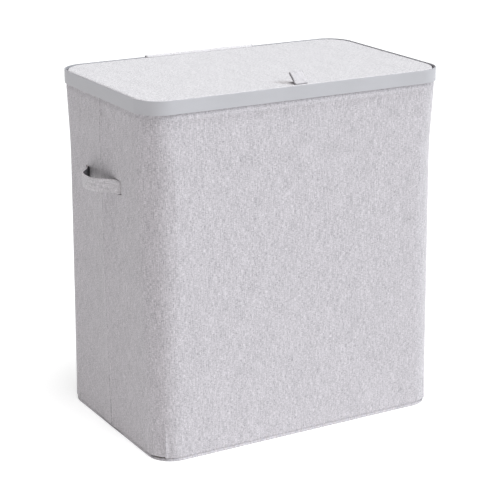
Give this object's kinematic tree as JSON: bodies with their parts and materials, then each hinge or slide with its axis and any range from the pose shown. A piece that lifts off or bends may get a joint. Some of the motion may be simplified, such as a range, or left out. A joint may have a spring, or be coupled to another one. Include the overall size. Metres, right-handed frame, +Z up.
{
  "type": "laundry hamper with lid",
  "caption": "Tall rectangular fabric laundry hamper with a plastic rim, a hinged cloth-covered lid with a pull tab, and a strap handle on each side.",
  "frame": {"origin": "centre of the underside, on the floor", "axes": "+Z up, +X towards the right-hand side, the front faces -Y"},
  "size_m": [0.658, 0.377, 0.6551],
  "materials": {
    "body_cloth": "matte linen-look weave",
    "lid_cloth": "matte linen-look weave",
    "lining_cloth": "plain thin non-woven",
    "base_cloth": "plain non-woven",
    "rim_plastic": "fine satin moulding",
    "wall_board": "pressed board",
    "tape": "hook and loop tape"
  },
  "bodies": {
    "hamper": {"outer_cover": "body_cloth", "lining": "lining_cloth", "rim_frame": "rim_plastic", "front_board": "wall_board", "back_board": "wall_board", "left_front_board": "wall_board", "left_rear_board": "wall_board", "right_front_board": "wall_board", "right_rear_board": "wall_board", "base_binding": "body_cloth", "base_cloth": "base_cloth", "base_board": "wall_board", "hinge_flap": "lid_cloth", "hinge_loop_tape": "tape", "hinge_hook_tape": "tape", "handle_left_tails": "body_cloth", "handle_right_tails": "body_cloth"},
    "lid": {"lid_cover": "lid_cloth", "lid_board": "wall_board", "lid_lining": "lining_cloth", "hinge_flap_on_lid": "lid_cloth"},
    "tab": {"pull_tab": "lid_cloth"},
    "insert": {"insert_cover": "lining_cloth", "insert_board": "wall_board"},
    "strap_left": {"handle_left": "body_cloth"},
    "strap_right": {"handle_right": "body_cloth"}
  },
  "joints": [
    {"name": "lid_hinge", "type": "hinge", "parent": "hamper", "child": "lid", "pos_m": [0, 0.1772, 0.6376], "axis": [-1, 0, 0], "range_deg": [0, 110]},
    {"name": "pull_tab_bend", "type": "hinge", "parent": "lid", "child": "tab", "pos_m": [0, -0.172, 0.6373], "axis": [1, 0, 0], "range_deg": [-25, 75], "stiffness_Nm_per_rad": 0.01},
    {"name": "insert_lift", "type": "slide", "parent": "hamper", "child": "insert", "axis": [0, 0, 1], "range_m": [0, 0.2]},
    {"name": "handle_left_lift", "type": "hinge", "parent": "hamper", "child": "strap_left", "pos_m": [-0.2953, 0, 0.468], "axis": [0, 1, 0], "range_deg": [0, 30]},
    {"name": "handle_right_lift", "type": "hinge", "parent": "hamper", "child": "strap_right", "pos_m": [0.2953, 0, 0.468], "axis": [0, -1, 0], "range_deg": [0, 30]}
  ]
}
